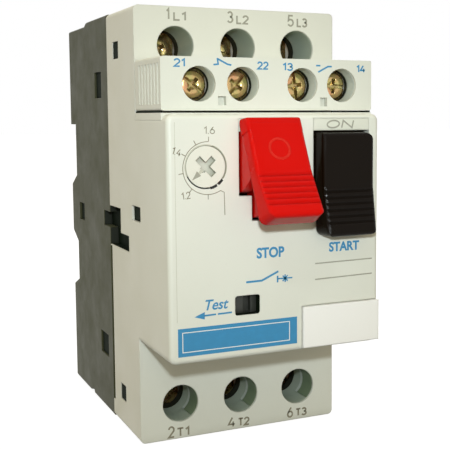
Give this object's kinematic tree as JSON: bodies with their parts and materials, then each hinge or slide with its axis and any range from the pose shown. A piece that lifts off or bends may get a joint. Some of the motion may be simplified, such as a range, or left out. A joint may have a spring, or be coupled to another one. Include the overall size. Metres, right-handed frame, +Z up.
{
  "type": "thermal magnetic motor circuit breaker",
  "caption": "Rail mounted motor circuit breaker with red STOP and black START rockers, a setting dial, a test tab, screw terminals and a front auxiliary contact block.",
  "frame": {"origin": "on the mounting rail: mid width, on the rail seating plane, at the rail centreline height", "axes": "+X to the right seen from the front, +Y to the rear (into the rail), +Z up"},
  "size_m": [0.0446, 0.0884, 0.089],
  "materials": {
    "cover_grey": "fine moulded texture",
    "base_dark": "fine moulded texture",
    "red_button": "semi gloss moulding",
    "black_button": "semi gloss moulding",
    "dial_grey": "satin moulding",
    "marker_white": "smooth",
    "inner_plastic": "moulded",
    "tab_dark": "moulded",
    "yellow_zinc": "yellow zinc plated steel",
    "copper": "rolled copper",
    "winding": "enamelled winding",
    "steel": "zinc plated",
    "bimetal_strip": "rolled",
    "heater_sleeve": "glass braid with ribbon"
  },
  "bodies": {
    "housing": {"front_cover": "cover_grey", "rear_base": "base_dark", "button_axle": "steel", "marker_plate": "marker_white", "clamp_washers": "yellow_zinc", "lever_pin": "steel", "mechanism_frame": "steel", "arc_splitters": "steel", "heater_windings": "heater_sleeve", "aux_case": "cover_grey", "aux_back": "inner_plastic", "aux_washers": "yellow_zinc", "aux_terminals": "copper", "line_strip_1": "copper", "line_strip_2": "copper", "line_strip_3": "copper", "load_strip_1": "copper", "load_strip_2": "copper", "load_strip_3": "copper", "trip_coil_1": "winding", "trip_coil_2": "winding", "trip_coil_3": "winding", "coil_yoke_1": "steel", "coil_yoke_2": "steel", "coil_yoke_3": "steel", "bimetal_1": "bimetal_strip", "bimetal_2": "bimetal_strip", "bimetal_3": "bimetal_strip"},
    "stop_rocker": {"stop_button": "red_button"},
    "start_rocker": {"start_button": "black_button"},
    "carrier": {"contact_carrier": "inner_plastic", "contact_springs": "steel", "drive_pin": "steel", "contact_bridge_1": "copper", "contact_bridge_2": "copper", "contact_bridge_3": "copper"},
    "lever": {"operating_lever": "inner_plastic"},
    "aux_moving": {"aux_slider": "inner_plastic", "aux_bridge_open": "copper", "aux_bridge_close": "copper"},
    "dial": {"setting_dial": "dial_grey"},
    "tester": {"test_tab": "tab_dark"},
    "tripper": {"trip_slide": "inner_plastic"},
    "latch": {"rail_latch": "base_dark", "latch_spring": "steel"},
    "plunger_1": {"magnet_plunger_1": "steel"},
    "plunger_2": {"magnet_plunger_2": "steel"},
    "plunger_3": {"magnet_plunger_3": "steel"},
    "line_screw_1_body": {"line_screw_1": "yellow_zinc"},
    "line_screw_2_body": {"line_screw_2": "yellow_zinc"},
    "line_screw_3_body": {"line_screw_3": "yellow_zinc"},
    "load_screw_1_body": {"load_screw_1": "yellow_zinc"},
    "load_screw_2_body": {"load_screw_2": "yellow_zinc"},
    "load_screw_3_body": {"load_screw_3": "yellow_zinc"},
    "aux_screw_1_body": {"aux_screw_1": "yellow_zinc"},
    "aux_screw_2_body": {"aux_screw_2": "yellow_zinc"},
    "aux_screw_3_body": {"aux_screw_3": "yellow_zinc"},
    "aux_screw_4_body": {"aux_screw_4": "yellow_zinc"}
  },
  "joints": [
    {"name": "stop_rocking", "type": "hinge", "parent": "housing", "child": "stop_rocker", "pos_m": [0, -0.06778, 0.0164], "axis": [1, 0, 0], "range_deg": [0, 26]},
    {"name": "start_rocking", "type": "hinge", "parent": "housing", "child": "start_rocker", "pos_m": [0, -0.06778, 0.0164], "axis": [1, 0, 0], "range_deg": [-26, 0]},
    {"name": "carrier_slide", "type": "slide", "parent": "housing", "child": "carrier", "axis": [0, -1, 0], "range_m": [0, 0.004]},
    {"name": "lever_swing", "type": "hinge", "parent": "housing", "child": "lever", "pos_m": [0, -0.04958, -0.0072], "axis": [1, 0, 0], "range_deg": [0, 11.43]},
    {"name": "aux_slide", "type": "slide", "parent": "housing", "child": "aux_moving", "axis": [0, 0, 1], "range_m": [0, 0.0007]},
    {"name": "dial_turn", "type": "hinge", "parent": "housing", "child": "dial", "pos_m": [-0.0148, -0.071, 0.0106], "axis": [0, -1, 0], "range_deg": [-140, 70]},
    {"name": "test_slide", "type": "slide", "parent": "housing", "child": "tester", "axis": [-1, 0, 0], "range_m": [0, 0.003], "stiffness_N_per_m": 300, "springref_m": -0.001},
    {"name": "trip_slide_run", "type": "slide", "parent": "housing", "child": "tripper", "axis": [-1, 0, 0], "range_m": [0, 0.003]},
    {"name": "latch_pull", "type": "slide", "parent": "housing", "child": "latch", "axis": [0, 0, -1], "range_m": [0, 0.0034], "stiffness_N_per_m": 800, "springref_m": -0.002, "deforming": ["latch_spring"]},
    {"name": "plunger_slide_1", "type": "slide", "parent": "housing", "child": "plunger_1", "axis": [0, -1, 0], "range_m": [0, 0.002], "stiffness_N_per_m": 200, "springref_m": -0.001},
    {"name": "plunger_slide_2", "type": "slide", "parent": "housing", "child": "plunger_2", "axis": [0, -1, 0], "range_m": [0, 0.002], "stiffness_N_per_m": 200, "springref_m": -0.001},
    {"name": "plunger_slide_3", "type": "slide", "parent": "housing", "child": "plunger_3", "axis": [0, -1, 0], "range_m": [0, 0.002], "stiffness_N_per_m": 200, "springref_m": -0.001},
    {"name": "line_screw_1_turn", "type": "hinge", "parent": "housing", "child": "line_screw_1_body", "pos_m": [-0.0136, -0.03938, 0.034], "axis": [0, -1, 0], "continuous": true},
    {"name": "line_screw_2_turn", "type": "hinge", "parent": "housing", "child": "line_screw_2_body", "pos_m": [0, -0.03938, 0.034], "axis": [0, -1, 0], "continuous": true},
    {"name": "line_screw_3_turn", "type": "hinge", "parent": "housing", "child": "line_screw_3_body", "pos_m": [0.0136, -0.03938, 0.034], "axis": [0, -1, 0], "continuous": true},
    {"name": "load_screw_1_turn", "type": "hinge", "parent": "housing", "child": "load_screw_1_body", "pos_m": [-0.0136, -0.03938, -0.03975], "axis": [0, -1, 0], "continuous": true},
    {"name": "load_screw_2_turn", "type": "hinge", "parent": "housing", "child": "load_screw_2_body", "pos_m": [0, -0.03938, -0.03975], "axis": [0, -1, 0], "continuous": true},
    {"name": "load_screw_3_turn", "type": "hinge", "parent": "housing", "child": "load_screw_3_body", "pos_m": [0.0136, -0.03938, -0.03975], "axis": [0, -1, 0], "continuous": true},
    {"name": "aux_screw_1_turn", "type": "hinge", "parent": "housing", "child": "aux_screw_1_body", "pos_m": [-0.0148, -0.06158, 0.02585], "axis": [0, -1, 0], "continuous": true},
    {"name": "aux_screw_2_turn", "type": "hinge", "parent": "housing", "child": "aux_screw_2_body", "pos_m": [-0.0059, -0.06158, 0.02585], "axis": [0, -1, 0], "continuous": true},
    {"name": "aux_screw_3_turn", "type": "hinge", "parent": "housing", "child": "aux_screw_3_body", "pos_m": [0.0067, -0.06158, 0.02585], "axis": [0, -1, 0], "continuous": true},
    {"name": "aux_screw_4_turn", "type": "hinge", "parent": "housing", "child": "aux_screw_4_body", "pos_m": [0.0154, -0.06158, 0.02585], "axis": [0, -1, 0], "continuous": true}
  ],
  "couplings": [
    {"joint": "stop_rocking", "follows": "carrier_slide", "rad_per_m": 113.45},
    {"joint": "start_rocking", "follows": "carrier_slide", "rad_per_m": -113.45},
    {"joint": "lever_swing", "follows": "carrier_slide", "rad_per_m": 49.835},
    {"joint": "aux_slide", "follows": "carrier_slide", "ratio": 0.17494},
    {"joint": "trip_slide_run", "follows": "test_slide", "ratio": 1}
  ]
}
